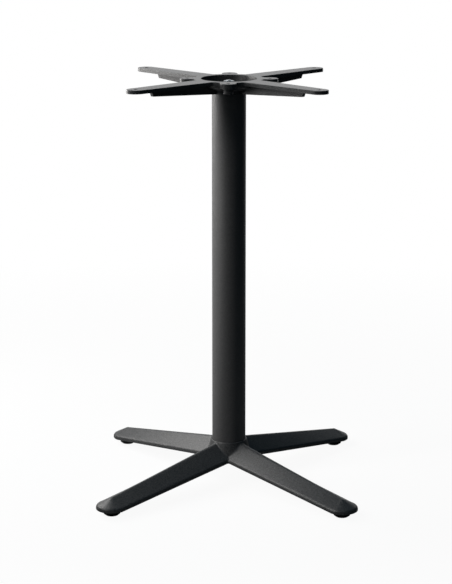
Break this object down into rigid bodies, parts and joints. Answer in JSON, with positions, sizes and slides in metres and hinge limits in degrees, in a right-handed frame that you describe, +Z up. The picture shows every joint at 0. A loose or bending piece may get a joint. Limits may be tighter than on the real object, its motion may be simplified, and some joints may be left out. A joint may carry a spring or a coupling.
{
  "type": "cast iron table base",
  "caption": "Pedestal table base with a cross of roof-shaped cast iron legs on levelling feet, a round column and a flat ribbed spider for the table top.",
  "frame": {"origin": "on the floor, on the column's axis, at the bottom centre of the box", "axes": "+Z up along the column; +X to the right and +Y to the back, with legs and arms along the diagonals"},
  "size_m": [0.45, 0.45, 0.73],
  "materials": {
    "base_coat": "fine-textured anthracite powder coat on cast iron",
    "column_coat": "fine-textured near-black powder coat on steel tube",
    "spider_coat": "fine-textured anthracite powder coat on cast iron",
    "zinc_steel": "bright zinc plate",
    "black_plastic": "moulded black plastic"
  },
  "bodies": {
    "stand": {"base_casting": "base_coat", "column_tube": "column_coat", "top_spider": "spider_coat", "tie_rod": "zinc_steel", "top_washer": "zinc_steel", "top_spring_washer": "zinc_steel", "top_nut": "zinc_steel", "bottom_washer": "zinc_steel", "bottom_spring_washer": "zinc_steel", "bottom_nut": "zinc_steel"},
    "back_right_foot_pad": {"back_right_foot_pad": "black_plastic"},
    "back_right_foot_stud": {"back_right_foot_stud": "zinc_steel"},
    "back_left_foot_pad": {"back_left_foot_pad": "black_plastic"},
    "back_left_foot_stud": {"back_left_foot_stud": "zinc_steel"},
    "front_left_foot_pad": {"front_left_foot_pad": "black_plastic"},
    "front_left_foot_stud": {"front_left_foot_stud": "zinc_steel"},
    "front_right_foot_pad": {"front_right_foot_pad": "black_plastic"},
    "front_right_foot_stud": {"front_right_foot_stud": "zinc_steel"}
  },
  "joints": [
    {"name": "back_right_level", "type": "slide", "parent": "stand", "child": "back_right_foot_pad", "axis": [0, 0, -1], "range_m": [0, 0.006]},
    {"name": "back_right_stud_turn", "type": "hinge", "parent": "back_right_foot_pad", "child": "back_right_foot_stud", "pos_m": [0.1975, 0.1975, 0.009], "axis": [0, 0, -1], "range_deg": [0, 1727.9]},
    {"name": "back_left_level", "type": "slide", "parent": "stand", "child": "back_left_foot_pad", "axis": [0, 0, -1], "range_m": [0, 0.006]},
    {"name": "back_left_stud_turn", "type": "hinge", "parent": "back_left_foot_pad", "child": "back_left_foot_stud", "pos_m": [-0.1975, 0.1975, 0.009], "axis": [0, 0, -1], "range_deg": [0, 1727.9]},
    {"name": "front_left_level", "type": "slide", "parent": "stand", "child": "front_left_foot_pad", "axis": [0, 0, -1], "range_m": [0, 0.006]},
    {"name": "front_left_stud_turn", "type": "hinge", "parent": "front_left_foot_pad", "child": "front_left_foot_stud", "pos_m": [-0.1975, -0.1975, 0.009], "axis": [0, 0, -1], "range_deg": [0, 1727.9]},
    {"name": "front_right_level", "type": "slide", "parent": "stand", "child": "front_right_foot_pad", "axis": [0, 0, -1], "range_m": [0, 0.006]},
    {"name": "front_right_stud_turn", "type": "hinge", "parent": "front_right_foot_pad", "child": "front_right_foot_stud", "pos_m": [0.1975, -0.1975, 0.009], "axis": [0, 0, -1], "range_deg": [0, 1727.9]}
  ],
  "couplings": [
    {"joint": "back_right_level", "follows": "back_right_stud_turn", "m_per_rad": 0.00019894},
    {"joint": "back_left_level", "follows": "back_left_stud_turn", "m_per_rad": 0.00019894},
    {"joint": "front_left_level", "follows": "front_left_stud_turn", "m_per_rad": 0.00019894},
    {"joint": "front_right_level", "follows": "front_right_stud_turn", "m_per_rad": 0.00019894}
  ]
}
